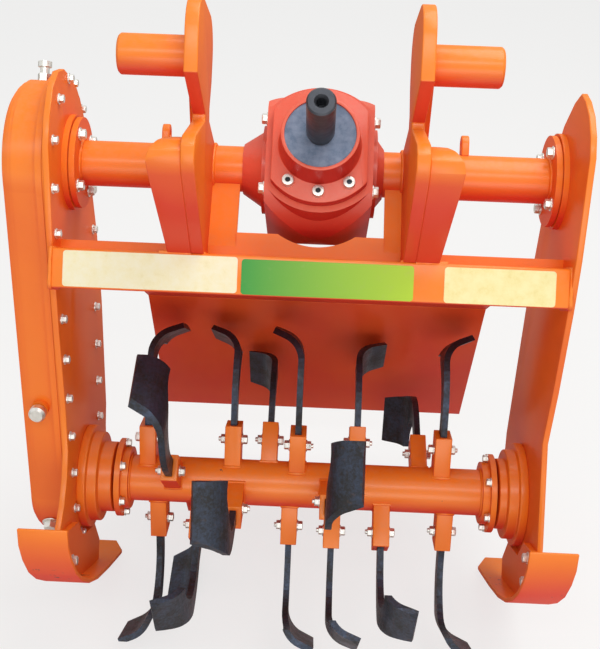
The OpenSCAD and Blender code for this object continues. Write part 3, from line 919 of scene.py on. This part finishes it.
class TILLER_OT_stage(bpy.types.Operator):
    """Camera at the photograph's angle, pale floor and soft studio lamps"""

    bl_idname = "tiller.stage"
    bl_label = "Stage"

    # Where the camera stands in the machine frame, and how it is turned there
    camera_at = Vector((6.7, -1437.4, -165.4))
    yaw, pitch, roll = math.radians(-0.95), math.radians(-1.52), math.radians(2.41)
    # How much of the floor's colour the camera sees as plain white
    white_share = 0.7

    def camera(self, lens):
        yaw, pitch, roll = self.yaw, self.pitch, self.roll
        ahead = Vector((math.sin(yaw) * math.cos(pitch), math.cos(yaw) * math.cos(pitch), math.sin(pitch)))
        level = Vector((math.cos(yaw), -math.sin(yaw), 0))
        upright = level.cross(ahead)
        right = level * math.cos(roll) + upright * math.sin(roll)
        up = upright * math.cos(roll) - level * math.sin(roll)
        turn = Matrix((right, up, -ahead)).transposed().to_4x4()
        bpy.ops.object.camera_add()
        camera = bpy.context.object
        camera.name = "camera"
        camera.matrix_world = Matrix.Translation(PARKED @ self.camera_at) @ TURNED @ turn
        camera.data.lens = lens
        camera.data.sensor_width = 36
        bpy.context.scene.camera = camera

    def lamp(self, name, at, target, size, power):
        bpy.ops.object.light_add(type="AREA", location=at)
        lamp = bpy.context.object
        lamp.name = name
        lamp.data.shape = "RECTANGLE"
        lamp.data.size, lamp.data.size_y = size
        lamp.data.energy = power
        lamp.rotation_euler = (Vector(target) - Vector(at)).to_track_quat("-Z", "Y").to_euler()

    def floor(self, colour):
        begin()
        # Just under the feet, so that they never cross it
        bpy.ops.mesh.primitive_circle_add(
            vertices=64, radius=14, fill_type="NGON", location=(0, 0, -0.0005))
        floor = bpy.context.object
        floor.name = "floor"
        bpy.ops.object.transform_apply(location=True, rotation=True, scale=True)
        material = bpy.data.materials.new("pale studio floor")
        material.use_nodes = True
        tree = material.node_tree
        tree.nodes.clear()
        diffuse = add(tree, "ShaderNodeBsdfDiffuse", {"Color": colour}).outputs["BSDF"]
        glow = {"Color": (1.0, 1.0, 1.0), "Strength": 1.0}
        white = add(tree, "ShaderNodeEmission", glow).outputs["Emission"]
        seen = add(tree, "ShaderNodeLightPath").outputs["Is Camera Ray"]
        share = combined(tree, "MULTIPLY", seen, self.white_share)
        both = add(tree, "ShaderNodeMixShader", {0: share, 1: diffuse, 2: white}).outputs["Shader"]
        add(tree, "ShaderNodeOutputMaterial", {"Surface": both})
        finish(floor, material)

    def room(self, strength):
        world = bpy.data.worlds.new("studio")
        world.use_nodes = True
        tree = world.node_tree
        tree.nodes.clear()
        rays = add(tree, "ShaderNodeLightPath").outputs
        # Full white where it is seen, in a reflection too, and the set strength where it lights
        seen = rays["Is Camera Ray"]
        for ray in ("Is Glossy Ray", "Is Transmission Ray"):
            seen = combined(tree, "MAXIMUM", seen, rays[ray])
        level = add(tree, "ShaderNodeMix", {0: seen, 2: strength, 3: 1.0}).outputs[0]
        sky = add(tree, "ShaderNodeBackground", {"Color": (1.0, 1.0, 1.0), "Strength": level})
        add(tree, "ShaderNodeOutputWorld", {"Surface": sky.outputs["Background"]})
        bpy.context.scene.world = world

    def execute(self, context):
        stage = context.scene.tiller_stage
        self.camera(stage.lens)
        self.floor(stage.floor)
        self.room(stage.sky)
        self.lamp("key lamp", (0.8, 0.45, 2.9), (0, 0, 0.4), (2.2, 1.6), stage.key_power)
        self.lamp("front lamp", (0.1, -1.9, 2.7), (0, 0, 0.6), (2.4, 0.3), stage.front_power)
        self.lamp("low lamp", (0.3, -3.0, 0.7), (0, 0, 0.4), (2.6, 1.0), stage.low_power)
        context.scene.view_settings.view_transform = "Standard"
        return {"FINISHED"}


# ---------------------------------------------------------------- panel


class TILLER_PT_panel(bpy.types.Panel):
    """Settings and steps of the tiller's dressing"""

    bl_idname = "TILLER_PT_panel"
    bl_label = "Rotary tiller"
    bl_space_type = "VIEW_3D"
    bl_region_type = "UI"
    bl_category = "Tiller"

    def draw(self, context):
        groups = {"Finishes": "tiller_finish", "Fasteners": "tiller_fasteners", "Stage": "tiller_stage"}
        for title, name in groups.items():
            box = self.layout.box()
            box.label(text=title)
            group = getattr(context.scene, name)
            for prop in group.bl_rna.properties:
                if prop.identifier not in ("rna_type", "name"):
                    box.prop(group, prop.identifier)
        for step in STEPS:
            self.layout.operator(step.bl_idname)


SETTINGS = {
    "tiller_finish": FinishSettings,
    "tiller_fasteners": FastenerSettings,
    "tiller_stage": StageSettings,
}
STEPS = (
    TILLER_OT_finishes,
    TILLER_OT_soft_edges,
    TILLER_OT_case_bolts,
    TILLER_OT_flange_bolts,
    TILLER_OT_bearing_cap,
    TILLER_OT_gearbox_bolts,
    TILLER_OT_rotor_bolts,
    TILLER_OT_frame_welds,
    TILLER_OT_rotor_welds,
    TILLER_OT_bar_plates,
    TILLER_OT_stage,
)


def register():
    for cls in (*SETTINGS.values(), *STEPS, TILLER_PT_panel):
        bpy.utils.register_class(cls)
    for name, cls in SETTINGS.items():
        setattr(bpy.types.Scene, name, bpy.props.PointerProperty(type=cls))


def unregister():
    for name in SETTINGS:
        delattr(bpy.types.Scene, name)
    for cls in reversed((*SETTINGS.values(), *STEPS, TILLER_PT_panel)):
        bpy.utils.unregister_class(cls)


def main():
    register()
    for step in STEPS:
        group, action = step.bl_idname.split(".")
        getattr(getattr(bpy.ops, group), action)()
    begin()


if __name__ == "__main__":
    main()
